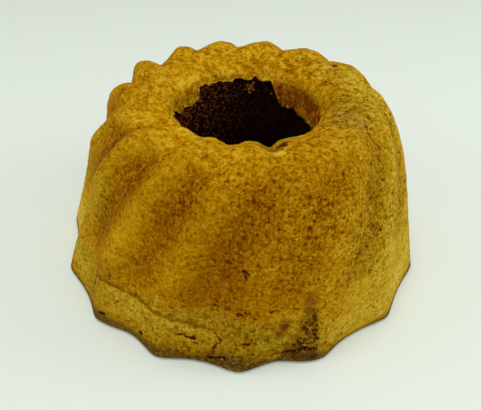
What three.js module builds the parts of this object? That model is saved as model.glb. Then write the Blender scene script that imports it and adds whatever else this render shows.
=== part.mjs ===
// A ring-shaped marble cake turned out of a swirled, fluted tin: one solid with a tapered hole through it.
// Millimetres, +Z up. The flat base rests on z = 0, the front faces -Y, and the outer box is centred on Z.
// Places on the wall are an angle in degrees and a distance along the ridge profile from the base's edge.
import * as THREE from 'three';

// Driving dimensions of the ring
const BASE_RADIUS = 110.6;        // tips of the flutes where they meet the base
const HEIGHT = 101;               // the crest above the base
const CREST_RADIUS = 66.5;        // radius of the highest ring
const LIP_RADIUS = 41;            // where the top turns down into the hole
const LIP_DROP = 11;              // the lip below the crest
const LIP_HEIGHT = HEIGHT - LIP_DROP;
const HOLE_BASE_RADIUS = 27;      // the hole's mouth in the base
const EDGE_ROUND = 2.5;           // rounding of the base's two edges
const TOP_LEAN = 2.8;             // the crest stands this far towards +X of the base
const LEAN_POWER = 1.5;           // how late in the height that lean comes

// Flutes: blunt ridges low down, rounded humps with sharp valleys on the crest
const FLUTES = 15;
const FRONT_RIDGE = 270.3;        // angle of the ridge that meets the base in front
const PITCH_SHIFT = 1.1;          // unevenness of the flutes' spacing
const PITCH_SHIFT_PEAK = 200;     // where that shift is largest
const RIDGE_ROUND = 0.25;         // bluntness of the ridges, as a share of their depth
const DEPTH_STATIONS = [          // distance, flute depth
  [0, 4.8], [28, 5.0], [40, 6.0], [70, 5.8], [105, 7.2], [118, 5.0], [132, 2.0], [150, 0.6],
];
const HUMPS_FROM = 88;            // distances between which the ridges round off
const HUMPS_FULL = 112;

// Above the base the flutes are shallow and soft on one side
const SHALLOW_SIDE = 315;
const SHALLOW_CORE = 38;
const SHALLOW_HALF_WIDTH = 85;
const SHALLOW_SHARE = 0.62;       // part of their depth that is missing there
const SHALLOW_FROM = 2;           // distances between which it goes missing
const SHALLOW_FULL = 50;

// Inside the crest the flutes fade out, least on one side
const CREST_FADE = 0.85;
const CREST_FADE_FROM = 104;
const CREST_FADE_FULL = 122;
const DEEP_SIDE = 195;
const DEEP_CORE = 20;
const DEEP_HALF_WIDTH = 65;

// Swirl: straight in the base band, then turning anticlockwise on the way up
const SWIRL_STATIONS = [          // angle at the base, turn up to the crest; the ends repeat round the ring
  [-10, 23.4], [15, 24.5], [50, 27.3], [85, 28.8], [130, 28.8], [200, 19.5], [225, 19.0],
  [250, 21.3], [275, 26.5], [310, 30.5], [350, 23.4], [375, 24.5],
];
const SWIRL_FROM = 30;            // distance where the turn begins
const SWIRL_POWER = 1.4;
const SWIRL_LIMIT = 1.25;         // the turn stops growing past this share of the way

// Places where the wall bulges out or sinks in
const SWELLS = [
  { angle: 210, halfWidth: 14, distance: 0, halfLength: 40, height: 1.4 },
  { angle: 229.5, halfWidth: 10, distance: 0, halfLength: 30, height: 1.8 },
  { angle: 331, halfWidth: 17, distance: 0, halfLength: 50, height: 1.6 },
  { angle: 299, halfWidth: 9, distance: 0, halfLength: 30, height: -0.9 },
  { angle: 258, halfWidth: 28, distance: 0, halfLength: 30, height: 0.9 },
  { angle: 348, halfWidth: 16, distance: 20, halfLength: 40, height: -0.7 },
  { angle: 192, halfWidth: 34, distance: 40, halfLength: 52, height: -4.4 },
  { angle: 153, halfWidth: 16, distance: 100, halfLength: 28, height: 2.5 },
  { angle: 122, halfWidth: 13, distance: 104, halfLength: 26, height: 2.4 },
  { angle: 280, halfWidth: 56, distance: 130, halfLength: 24, height: 2.8 },
  { angle: 281, halfWidth: 7, distance: 123, halfLength: 9, height: -1.8 },
  { angle: 334, halfWidth: 10, distance: 112, halfLength: 26, height: -2.2 },
  { angle: 196, halfWidth: 8, distance: 4, halfLength: 20, height: -1.5 },
  { angle: 192, halfWidth: 14, distance: 91, halfLength: 20, height: -2.6 },
  { angle: 213, halfWidth: 7, distance: 68, halfLength: 36, height: 2.0 },
  { angle: 246, halfWidth: 13, distance: 141, halfLength: 14, height: 1.6 },
  { angle: 288, halfWidth: 8, distance: 0, halfLength: 14, height: 1.8 },
];

// Base band: stands proud below a ledge along part of the front
const LEDGE_PLACE = 25;           // distance of the ledge along most of its run
const LEDGE_DIP = 3.5;            // how much lower it runs at one end
const LEDGE_DIP_MIDDLE = 272;
const LEDGE_DIP_CORE = 12;
const LEDGE_DIP_HALF_WIDTH = 26;
const LEDGE_STEP = 1.3;           // depth of the wall behind the band
const LEDGE_FALL = 1.4;           // length over which the step is made
const LEDGE_FADE = 14;            // length above it over which the wall comes out again
const LEDGE_MIDDLE = 244;
const LEDGE_CORE = 14;
const LEDGE_HALF_WIDTH = 25;

// Torn crust inside the hole: above this edge the golden crust remains, below it the crumb is bare
const TORN_LEVEL = 87.8;          // height of the torn edge
const TORN_DEPTH = 1.8;           // the bare crumb lies this far behind the crust
const TORN_SLOPE = 1.2;           // height over which the crust's broken edge falls back
const TORN_TOP = 89.5;            // the edge stays below the lip
const TORN_WAVES = [              // raggedness of the edge round the hole
  { height: 0.6, count: 7, phase: 0.4 },
  { height: 0.5, count: 13, phase: 2.0 },
  { height: 0.4, count: 23, phase: 0 },
];
const CRUST_TONGUES = [           // stretches where the crust reaches further down the hole
  { angle: 33, halfWidth: 38, core: 30, drop: 12.8 },
  { angle: 157, halfWidth: 23, core: 13, drop: 8 },
  { angle: 109, halfWidth: 8, core: 3, drop: 2.4 },
];
const LIP_REACH = 4;              // how fast the lip's unevenness dies out down the hole, as a power

// Gouges across the lip, where crumb came away
const LIP_GOUGES = [
  { angle: 283, halfWidth: 9, depth: 3.6 },
  { angle: 258, halfWidth: 13, depth: 1.9 },
  { angle: 85, halfWidth: 7, depth: 4.4 },
  { angle: 191, halfWidth: 15, depth: 2.4 },
];
const GOUGE_FROM = 118;           // distances between which the gouges deepen
const GOUGE_FULL = 134;

// Slow unevenness of the baked surface: a broad wave and a narrow one
const UNEVEN = 0.8;
const BROAD = { share: 0.6, count: 2, phase: 0.6, length: 37, start: 1.1 };
const NARROW = { share: 0.4, count: 5, phase: -1.9, slant: 26, length: 17 };

// Mesh resolution
const STEPS_PER_FLUTE = 8;
const EDGE_ROWS = 2;
const BAND_ROWS = 5;
const WALL_ROWS = 20;
const LIP_ROWS = 9;
const HOLE_ROWS = 7;
const PROFILE_SAMPLES = 400;

const CRUST_COLOUR = 0xb4812a;
const CRUST_ROUGHNESS = 0.75;

const FULL_TURN = 360;
const HALF_TURN = 180;
const QUARTER = Math.PI / 2;
const rad = THREE.MathUtils.degToRad;
const { clamp, lerp, smoothstep, euclideanModulo } = THREE.MathUtils;

// Sum of a function over a list
function total(list, value) {
  return list.reduce((sum, item) => sum + value(item), 0);
}

// Value at a place along a table of [place, value] stations, straight between them
function stationValue(stations, place) {
  const next = stations.findIndex(([from]) => from > place);
  if (next === 0) return stations[0][1];
  if (next < 0) return stations[stations.length - 1][1];
  const [from, low] = stations[next - 1];
  const [to, high] = stations[next];
  return lerp(low, high, (place - from) / (to - from));
}

// 1 within a core about a middle, falling smoothly to 0 at half a width to either side
function window(place, middle, halfWidth, core = 0) {
  return 1 - smoothstep(Math.abs(place - middle), core, halfWidth);
}

// Signed angle from one direction to another, the shorter way round
function turnFrom(middle, angle) {
  return euclideanModulo(angle - middle + HALF_TURN, FULL_TURN) - HALF_TURN;
}

// The same window about an angle, round the ring
function angleWindow(angle, middle, halfWidth, core = 0) {
  return window(turnFrom(middle, angle), 0, halfWidth, core);
}

// Ridge profile from the base's edge over the crest to the lip: close points with their distances
function ridgeProfile() {
  const points = [];
  const start = Math.asin(Math.sqrt(EDGE_ROUND / HEIGHT));
  for (let i = 0; i <= PROFILE_SAMPLES; i += 1) {
    const turn = lerp(start, QUARTER, i / PROFILE_SAMPLES);
    const radius = CREST_RADIUS + (BASE_RADIUS - CREST_RADIUS) * Math.cos(turn);
    points.push(new THREE.Vector2(radius, HEIGHT * Math.sin(turn) ** 2));
  }
  for (let i = 1; i <= PROFILE_SAMPLES; i += 1) {
    const turn = QUARTER * (i / PROFILE_SAMPLES);
    const radius = CREST_RADIUS - (CREST_RADIUS - LIP_RADIUS) * Math.sin(turn);
    points.push(new THREE.Vector2(radius, HEIGHT - LIP_DROP * (1 - Math.cos(turn))));
  }
  let distance = 0;
  return points.map((point, i) => {
    if (i > 0) distance += point.distanceTo(points[i - 1]);
    return { point, distance };
  });
}

const PROFILE = ridgeProfile();
const CREST_DISTANCE = PROFILE[PROFILE_SAMPLES].distance;
const LIP_DISTANCE = PROFILE[PROFILE.length - 1].distance;

// Point of the ridge profile at a distance, and the outward normal there
function profileAt(distance) {
  const next = PROFILE.findIndex((sample) => sample.distance > distance);
  const upper = clamp(next < 0 ? PROFILE.length - 1 : next, 1, PROFILE.length - 1);
  const below = PROFILE[upper - 1];
  const above = PROFILE[upper];
  const share = (distance - below.distance) / (above.distance - below.distance);
  const along = above.point.clone().sub(below.point).normalize();
  const point = below.point.clone().lerp(above.point, share);
  return { point, normal: new THREE.Vector2(along.y, -along.x) };
}

// Angle of a place across the flutes (whole numbers are ridges) at a distance
function fluteAngle(flute, distance) {
  const even = FRONT_RIDGE + (flute * FULL_TURN) / FLUTES;
  const shifted = even + PITCH_SHIFT * (1 + Math.cos(2 * rad(even - PITCH_SHIFT_PEAK)));
  const turn = stationValue(SWIRL_STATIONS, euclideanModulo(even, FULL_TURN));
  const share = clamp((distance - SWIRL_FROM) / (CREST_DISTANCE - SWIRL_FROM), 0, SWIRL_LIMIT);
  return shifted + turn * share ** SWIRL_POWER;
}

// 1 where the flutes are shallow and soft, 0 where they are deep
function shallowSide(angle, distance) {
  const aboveBase = smoothstep(distance, SHALLOW_FROM, SHALLOW_FULL);
  return aboveBase * angleWindow(angle, SHALLOW_SIDE, SHALLOW_HALF_WIDTH, SHALLOW_CORE);
}

// 0 on a ridge and 1 in the channel beside it
function channel(flute, angle, distance) {
  const wave = flute * Math.PI;
  const blunt = Math.hypot(Math.sin(wave), RIDGE_ROUND) - RIDGE_ROUND;
  const ridged = blunt / (Math.hypot(1, RIDGE_ROUND) - RIDGE_ROUND);
  const humped = 1 - Math.abs(Math.cos(wave));
  const crisp = lerp(ridged, humped, smoothstep(distance, HUMPS_FROM, HUMPS_FULL));
  return lerp(crisp, Math.sin(wave) ** 2, shallowSide(angle, distance));
}

// Depth of the channels below the ridges
function fluteDepth(angle, distance) {
  const side = 1 - SHALLOW_SHARE * shallowSide(angle, distance);
  const insideCrest = smoothstep(distance, CREST_FADE_FROM, CREST_FADE_FULL);
  const fading = CREST_FADE * insideCrest * (1 - angleWindow(angle, DEEP_SIDE, DEEP_HALF_WIDTH, DEEP_CORE));
  return stationValue(DEPTH_STATIONS, distance) * side * (1 - fading);
}

// Slow sinking and swelling of the surface
function unevenness(angle, distance) {
  const a = rad(angle);
  const broad = Math.sin(BROAD.count * a + BROAD.phase) * Math.sin(distance / BROAD.length + BROAD.start);
  const slanted = Math.sin(NARROW.count * a + NARROW.phase + distance / NARROW.slant);
  const narrow = slanted * Math.cos(distance / NARROW.length);
  return UNEVEN * (BROAD.share * broad + NARROW.share * narrow) * smoothstep(distance, 0, LEDGE_PLACE);
}

// How far the wall bulges out in places
function swollen(angle, distance) {
  return total(SWELLS, (s) => s.height * angleWindow(angle, s.angle, s.halfWidth)
    * window(distance, s.distance, s.halfLength));
}

// Distance of the ledge above the base band
function ledgePlace(angle) {
  const dip = angleWindow(angle, LEDGE_DIP_MIDDLE, LEDGE_DIP_HALF_WIDTH, LEDGE_DIP_CORE);
  return LEDGE_PLACE - LEDGE_DIP * dip;
}

// Depth of the wall behind the base band, just above the ledge
function ledge(angle, distance) {
  const above = distance - ledgePlace(angle);
  const fading = 1 - smoothstep(above, LEDGE_FALL, LEDGE_FADE);
  const share = angleWindow(angle, LEDGE_MIDDLE, LEDGE_HALF_WIDTH, LEDGE_CORE);
  return LEDGE_STEP * smoothstep(above, 0, LEDGE_FALL) * fading * share;
}

// Depth of the places on the lip where crumb came away
function gouged(angle, distance) {
  const onLip = smoothstep(distance, GOUGE_FROM, GOUGE_FULL);
  return total(LIP_GOUGES, (g) => g.depth * onLip * angleWindow(angle, g.angle, g.halfWidth));
}

// How far the surface lies inside the ridge profile
function sunk(flute, angle, distance) {
  const fluted = fluteDepth(angle, distance) * channel(flute, angle, distance);
  const uneven = unevenness(angle, distance) - swollen(angle, distance);
  return fluted + ledge(angle, distance) + gouged(angle, distance) + uneven;
}

// Height of the crust's torn edge in the hole
function tornEdge(angle) {
  const ragged = total(TORN_WAVES, (w) => w.height * Math.sin(w.count * rad(angle) + w.phase));
  const tongues = total(CRUST_TONGUES, (t) => t.drop * angleWindow(angle, t.angle, t.halfWidth, t.core));
  return Math.min(TORN_TOP, TORN_LEVEL + ragged - tongues);
}

// A point of the cake from its angle, radius and height, with the crest's lean
function place(angle, radius, height) {
  const lean = TOP_LEAN * clamp(height / HEIGHT, 0, 1) ** LEAN_POWER;
  return [radius * Math.cos(rad(angle)) + lean, radius * Math.sin(rad(angle)), height];
}

// Points round the base's outer edge, from the flat base up to the wall
function edgePoints(flute) {
  const angle = fluteAngle(flute, 0);
  const outside = BASE_RADIUS - sunk(flute, angle, 0);
  const points = [];
  for (let i = 0; i < EDGE_ROWS; i += 1) {
    const turn = QUARTER * (i / EDGE_ROWS);
    const radius = outside - EDGE_ROUND * (1 - Math.sin(turn));
    points.push(place(angle, radius, EDGE_ROUND * (1 - Math.cos(turn))));
  }
  return points;
}

// Distances of one column's rows, with a row at the ledge and one just above it
function rowDistances(flute) {
  const ledgeRow = ledgePlace(fluteAngle(flute, 0));
  const rows = [];
  for (let i = 0; i <= BAND_ROWS; i += 1) rows.push(lerp(0, ledgeRow, i / BAND_ROWS));
  const wallRow = ledgeRow + LEDGE_FALL;
  for (let i = 0; i <= WALL_ROWS; i += 1) rows.push(lerp(wallRow, CREST_DISTANCE, i / WALL_ROWS));
  for (let i = 1; i <= LIP_ROWS; i += 1) rows.push(lerp(CREST_DISTANCE, LIP_DISTANCE, i / LIP_ROWS));
  return rows;
}

// Points from the base's edge over the crest to the lip
function outerPoints(flute) {
  return rowDistances(flute).map((distance) => {
    const { point, normal } = profileAt(distance);
    const angle = fluteAngle(flute, distance);
    const depth = sunk(flute, angle, distance);
    return place(angle, point.x - depth * normal.x, point.y - depth * normal.y);
  });
}

// Points down the hole: the crust's torn edge, then the bare crumb to the base
function holePoints(flute) {
  const lipAngle = fluteAngle(flute, LIP_DISTANCE);
  const lipDepth = sunk(flute, lipAngle, LIP_DISTANCE);
  const edge = tornEdge(lipAngle);
  const heights = [edge];
  const bare = edge - TORN_SLOPE;
  for (let i = 0; i < HOLE_ROWS; i += 1) heights.push(lerp(bare, EDGE_ROUND, i / (HOLE_ROWS - 1)));
  const points = heights.map((height, i) => {
    const share = height / LIP_HEIGHT;
    const angle = lerp(fluteAngle(flute, 0), lipAngle, share);
    const crust = lerp(HOLE_BASE_RADIUS, LIP_RADIUS, share) + lipDepth * share ** LIP_REACH;
    return place(angle, i > 0 ? crust + TORN_DEPTH : crust, height);
  });
  points.push(place(fluteAngle(flute, 0), HOLE_BASE_RADIUS + TORN_DEPTH + EDGE_ROUND, 0));
  return points;
}

// The closed skin: columns round the ring, rows round the section
function cakeGeometry() {
  const columns = FLUTES * STEPS_PER_FLUTE;
  const positions = [];
  let rows = 0;
  for (let i = 0; i < columns; i += 1) {
    const flute = i / STEPS_PER_FLUTE;
    const points = [...edgePoints(flute), ...outerPoints(flute), ...holePoints(flute)];
    rows = points.length;
    points.forEach((point) => positions.push(...point));
  }
  const faces = [];
  for (let i = 0; i < columns; i += 1) {
    const next = (i + 1) % columns;
    for (let j = 0; j < rows; j += 1) {
      const up = (j + 1) % rows;
      const [a, b, c, d] = [i * rows + j, next * rows + j, next * rows + up, i * rows + up];
      faces.push(a, b, c, a, c, d);
    }
  }
  const geometry = new THREE.BufferGeometry();
  geometry.setAttribute('position', new THREE.Float32BufferAttribute(positions, 3));
  geometry.setIndex(faces);
  geometry.computeBoundingBox();
  const middle = geometry.boundingBox.getCenter(new THREE.Vector3());
  geometry.translate(-middle.x, -middle.y, 0);
  geometry.computeVertexNormals();
  return geometry;
}

const crust = new THREE.MeshStandardMaterial({ color: CRUST_COLOUR, roughness: CRUST_ROUGHNESS });
const cake = new THREE.Mesh(cakeGeometry(), crust);
cake.name = 'cake';

const group = new THREE.Group();
group.add(cake);

export default group;
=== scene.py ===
"""A swirled ring-shaped marble cake: golden crust, cocoa crumb in the hole, a streaked base band."""

import math
import random
from collections import namedtuple

import bmesh
import bpy
import numpy as np
from mathutils import Matrix, Vector, noise


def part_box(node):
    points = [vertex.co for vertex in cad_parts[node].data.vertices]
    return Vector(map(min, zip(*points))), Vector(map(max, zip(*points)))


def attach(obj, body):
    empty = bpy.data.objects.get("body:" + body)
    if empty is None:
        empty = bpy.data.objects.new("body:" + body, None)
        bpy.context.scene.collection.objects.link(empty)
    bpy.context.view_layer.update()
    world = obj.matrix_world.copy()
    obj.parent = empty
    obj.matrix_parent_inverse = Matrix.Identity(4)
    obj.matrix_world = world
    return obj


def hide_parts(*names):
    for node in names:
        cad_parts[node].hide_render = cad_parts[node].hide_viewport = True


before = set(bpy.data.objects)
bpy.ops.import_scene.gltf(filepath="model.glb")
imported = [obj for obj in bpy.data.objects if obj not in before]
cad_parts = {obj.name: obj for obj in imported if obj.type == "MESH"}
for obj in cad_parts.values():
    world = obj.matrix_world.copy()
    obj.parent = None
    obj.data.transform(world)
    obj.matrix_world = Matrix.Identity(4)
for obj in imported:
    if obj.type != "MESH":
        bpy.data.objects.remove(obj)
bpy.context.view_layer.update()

# Lengths are millimetres and angles degrees, as in the solid; MM turns them into metres
# A side is an angle, a half width and a core; a fade runs from one distance to another
# A patch is an angle, a half width, a distance, a half length and a height, change or share
# A mark is both its ends, a half width and a darkness; a streak is both its ends and a width
# A spot is an angle, a distance and a radius
MM = 0.001
TINY = 1e-9

# Ring
BASE_RADIUS = 110.6
HEIGHT = 101
CREST_RADIUS = 66.5
LIP_RADIUS = 41
LIP_DROP = 11
LIP_HEIGHT = HEIGHT - LIP_DROP
HOLE_BASE_RADIUS = 27
EDGE_ROUND = 2.5
TOP_LEAN = 2.8
LEAN_POWER = 1.5

# Flutes: blunt ridges low down, rounded humps with sharp valleys at the crest; depth against distance
FLUTES = 15
FRONT_RIDGE = 270.3
PITCH_SHIFT = 1.1
PITCH_SHIFT_PEAK = 200
RIDGE_ROUND = 0.25
DEPTH_STATIONS = [
    (0, 4.8), (28, 5), (40, 6), (70, 5.8), (105, 7.2), (118, 5), (132, 2), (150, 0.6),
]
HUMPS_FADE = (88, 112)

# Above the base the flutes are shallow and soft on one side
SHALLOW_SIDE = (315, 85, 38)
SHALLOW_FADE = (2, 50)
SHALLOW_SHARE = 0.62

# Inside the crest the flutes fade out, least on one side
CREST_FADE = (104, 122)
CREST_SHARE = 0.85
DEEP_SIDE = (195, 65, 20)

# Swirl: how far the flutes turn up to the crest, against angle
SWIRL_STATIONS = [
    (15, 24.5), (50, 27.3), (85, 28.8), (130, 28.8), (200, 19.5), (225, 19), (250, 21.3), (275, 26.5),
    (310, 30.5), (350, 23.4),
]
SWIRL_FROM = 30
SWIRL_POWER = 1.4
SWIRL_LIMIT = 1.25

# Patches where the wall bulges or sinks
SWELLS = [
    (210, 14, 0, 40, 1.4), (229.5, 10, 0, 30, 1.8), (331, 17, 0, 50, 1.6), (299, 9, 0, 30, -0.9),
    (258, 28, 0, 30, 0.9), (348, 16, 20, 40, -0.7), (192, 34, 40, 52, -4.4), (153, 16, 100, 28, 2.5),
    (122, 13, 104, 26, 2.4), (280, 56, 130, 24, 2.8), (281, 7, 123, 9, -1.8), (334, 10, 112, 26, -2.2),
    (196, 8, 4, 20, -1.5), (192, 14, 91, 20, -2.6), (213, 7, 68, 36, 2), (246, 13, 141, 14, 1.6),
    (288, 8, 0, 14, 1.8),
]

# Ledge above the base band, along part of the front
LEDGE_PLACE = 25
LEDGE_DIP = 3.5
LEDGE_DIP_SIDE = (272, 26, 12)
LEDGE_STEP = 1.3
LEDGE_FALL = 1.4
LEDGE_FADE = 14
LEDGE_SIDE = (244, 25, 14)

# Torn crust in the hole; a wave has a height, a count and a phase, a tongue a side and a drop
TORN_LEVEL = 87.8
TORN_WAVES = [(0.6, 7, 0.4), (0.5, 13, 2), (0.4, 23, 0)]
TORN_DEPTH = 1.8
TORN_SLOPE = 1.2
TORN_TOP = 89.5
CRUST_TONGUES = [(33, 38, 30, 12.8), (157, 23, 13, 8), (109, 8, 3, 2.4)]

# Gouges across the lip: angle, half width, depth
LIP_GOUGES = [(283, 9, 3.6), (258, 13, 1.9), (85, 7, 4.4), (191, 15, 2.4)]
GOUGE_FADE = (118, 134)

# Slow unevenness of the baked surface: a broad wave and a narrow one
UNEVEN = 0.8
BROAD = {"share": 0.6, "count": 2, "phase": 0.6, "length": 37, "start": 1.1}
NARROW = {"share": 0.4, "count": 5, "phase": -1.9, "slant": 26, "length": 17}

# Mesh resolution; the front has closer columns than the back
FRONT_FLUTES = (-4.5, 4)
FRONT_COLUMNS = 390
BACK_COLUMNS = 210
EDGE_ROWS = 4
OUTER_ROWS = 146
CRUST_ROWS = 6
CRUMB_ROWS = 36
BASE_ROWS = 6
PROFILE_SAMPLES = 1500

# Crust in the hole; the small teeth of its torn edge have a height, a length and a seed
LIP_REACH = 4
FRAYS = [(1.4, 9, 9), (1.1, 3.6, 9), (0.35, 1.6, 9)]
CRUMB_TUCK = 1.5
FAR_ABOVE = 20

# Relief of the crust, of its torn part and of the bare crumb: heights, sizes and seeds of the lumps
CRUST_LUMPS = [(0.34, 7, 1), (0.2, 3, 2)]
TORN_LUMPS = [(1, 2.6, 5)]
CRUMB_LUMPS = [(0.9, 6, 3), (0.6, 2.6, 4)]
SEED_STEPS = (17.3, -9.1, 5.7)
TORN_FADE = (-1, 2)
CRUST_FOOT = (0, 6)
CRUMB_FOOT = (0, 3)

# Places on the lower wall are an angle and a distance; this turns the angle into a length
MM_PER_DEGREE = 1.85

# Marks that are cracks and slits, darkened with painted shade in them
MARKS = [
    ((220, 9), (220.6, 24), 0.3, 0.5), ((262.9, 6), (262.9, 9.5), 0.35, 0.6),
    ((262.9, 9.5), (265.2, 16.5), 0.3, 0.6), ((265.2, 16.5), (263.1, 20), 0.3, 0.5),
    ((261.6, 2.6), (264.5, 4), 0.8, 1), ((265.4, 5), (266.4, 5.6), 0.9, 1),
    ((253.4, 14.9), (255.4, 13.6), 0.4, 0.9), ((255.4, 13.6), (257.4, 13.8), 0.6, 0.95),
    ((262.6, 36.5), (264.9, 35.9), 0.5, 0.6), ((266, 36.6), (267.2, 37.2), 0.5, 0.55),
    ((269.4, 35.5), (270.9, 33.6), 0.6, 0.75), ((272.4, 35), (273, 35), 0.5, 0.5),
    ((273.7, 31.5), (274.2, 31), 0.5, 0.6), ((270.2, 58.5), (271.9, 56.2), 0.45, 0.8),
    ((271, 54.6), (271.3, 54.2), 0.5, 0.75), ((271.2, 16.6), (273, 16.4), 0.5, 0.75),
    ((257.8, 11), (258.4, 10.6), 0.6, 0.8), ((226.2, 4.6), (227.4, 5.2), 0.7, 0.9),
    ((240.2, 5.6), (241, 5.6), 0.7, 0.8), ((283.2, 5), (286.2, 5.6), 0.8, 0.9),
    ((287.7, 7.4), (289.3, 7), 1.1, 1), ((290, 6.4), (291.3, 6.2), 0.7, 0.9),
    ((337.2, 112.5), (332.3, 105), 0.35, 0.6), ((332.3, 105), (331, 94), 0.3, 0.5),
]
# Marks that are red-brown
RED_MARKS = [
    ((278.7, 33.7), (279.3, 33.4), 0.9, 1), ((279.3, 33.4), (280.8, 33), 0.5, 0.7),
    ((283.2, 24), (282.6, 20.5), 0.7, 0.75), ((281.4, 18.6), (281.5, 18), 0.7, 0.85),
    ((277.9, 16.4), (278.1, 16.2), 0.7, 0.8), ((280.3, 5.4), (281.2, 5.2), 0.6, 0.7),
    ((285.6, 125.6), (289.6, 124.8), 3, 1),
]
# Relief of the slits
SLIT_DEPTH = 0.7
SLIT_CORE = 0.5
# Border of the marks, and how dark one is where its painted shade turns brown and where it turns black
MARK_SOFT = 0.8
MARK_CORE = 0.2
MARK_WEIGHTS = {"fine": 2, "grains": 1.2}
MARK_BROWN = (0, 0.5)
MARK_BLACK = (0.3, 0.95)
# Noise that makes the marks and streaks waver
WAVER = 2.6
WAVER_SIZES = (3, 3.4)

# Streaks of cocoa batter that show at the surface
STREAKS = [
    ((292, 31), (291, 22), 2.4), ((291, 22), (291.9, 15), 2.8), ((291.9, 15), (291.2, 7), 3),
    ((289.4, 25), (288.2, 20), 2.2), ((291, 23), (288.8, 18), 2.6), ((287.6, 14), (286, 9), 2.6),
    ((287.4, 10.5), (290.8, 10), 2), ((291, 17), (288.8, 13), 1.9), ((283.6, 6), (286, 5.2), 2.2),
    ((286, 2.2), (291.6, 1.4), 2.6),
]

# Streaks of the same batter that lie deeper and show red-brown
SMEARS = [
    ((283.2, 25), (281.8, 17), 3), ((290.4, 38), (290, 30), 3.4), ((290, 30), (288.6, 18), 3.6),
    ((286.4, 14), (290, 13), 3.6), ((284, 9), (287, 8), 3),
]
# Soft borders of the streaks, and their weight and reach
LINE_SOFT = 1.7
STREAK_WEIGHT = 0.9
STREAK_REACH = 0.4
SMEAR_WEIGHT = 0.8
SMEAR_REACH = 0.5

# Spots that are small dark pits; more are scattered at random
PITS = [
    (271, 56, 1.2), (269.5, 33.5, 1.3), (271.5, 35.5, 1.4), (266, 40, 1.2), (210, 49, 1.4),
    (318.7, 57.6, 1.6), (320.6, 94.6, 1.3), (330, 71.6, 1.3), (24.2, 129.5, 1.5), (20, 128, 1.2),
    (3.5, 125.7, 1.5), (34.4, 116.3, 2.4), (340, 128, 1.6), (343.5, 124, 1.4), (338, 120, 1.3),
    (288.4, 124.6, 2), (291, 126.6, 1.5),
]
# The pits at random, and the depth of all the pits
PIT_SEED = 11
PIT_COUNT = 110
PIT_ANGLES = (0, 360)
PIT_PLACES = (4, 128)
PIT_RADII = (0.5, 1.1)
PIT_DEPTH = 0.45
# Spots where pale crumb shows
PALE_SPOTS = [
    (284.3, 118.4, 2.8), (282.2, 119.6, 1.8), (286.4, 117.8, 1.4), (330, 21.6, 0.9), (245.6, 34.6, 1.1),
    (320, 44.6, 0.9),
]
# Spots where the lip is scooped: crumb colour with painted shade in the hollow
GOUGE_SHADE_SPOTS = [(281, 126.4, 3), (283.4, 123, 2.4), (278.4, 127.4, 2.4)]
# Shares of a spot's radius between which it fades
SPOT_FADE = (0.3, 1.3)

# Loose crumbs on the hole's wall: angle, height, size; a dent has a pace and a depth
LOOSE_CRUMBS = [
    (86, 82.4, 1.4), (88.2, 81, 1.2), (84.6, 80.6, 1), (89.6, 83.2, 0.9), (87.4, 78.8, 1),
    (91.5, 80.4, 0.8), (85, 84.6, 0.9), (68, 80, 0.8), (131, 85, 0.9), (136, 82, 0.7),
    (142, 81, 0.9), (24, 73.5, 0.9), (16, 73, 0.8),
]
LOOSE_SINK = 0.3
LOOSE_DETAIL = 2
LOOSE_DENTS = [(0.9, 0.5), (2.1, 0.25)]

# Browning with painted shade and light, from 0 dark to 1 pale; a place is a distance, a half length and a
# core
CRUST_TONE = 0.78
# The grooves are darker: partly their own browning, partly painted shade in them
GROOVE_BROWN_AND_SHADE = 0.2
GROOVE_FADE_IN = (25, 55)
GROOVE_FADE_OUT = (90, 114)
LEFT_SIDE = (225, 55, 25)
# Crust inside the hole on one side is darker: its own red-brown, and painted shade under the lip with a sharp
# edge
WALL_BROWN_AND_SHADE = 0.33
WALL_SIDE = (30, 44, 34)
WALL_FADE = (142, 143.8)
LEFT_GROOVE_BROWN_AND_SHADE = 0.03
# On the left the ridges get a painted highlight, and each ridge painted light on one flank and painted shade
# on the other
LEFT_RIDGE_HIGHLIGHT = 0.09
LEFT_FLANK_LIGHT = 0.08
LEFT_FLANK_SIDE = (216, 30, 12)
LEFT_FLANK_PLACE = (82, 46, 26)
LEFT_RIDGE_PLACE = (60, 45, 15)
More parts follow.
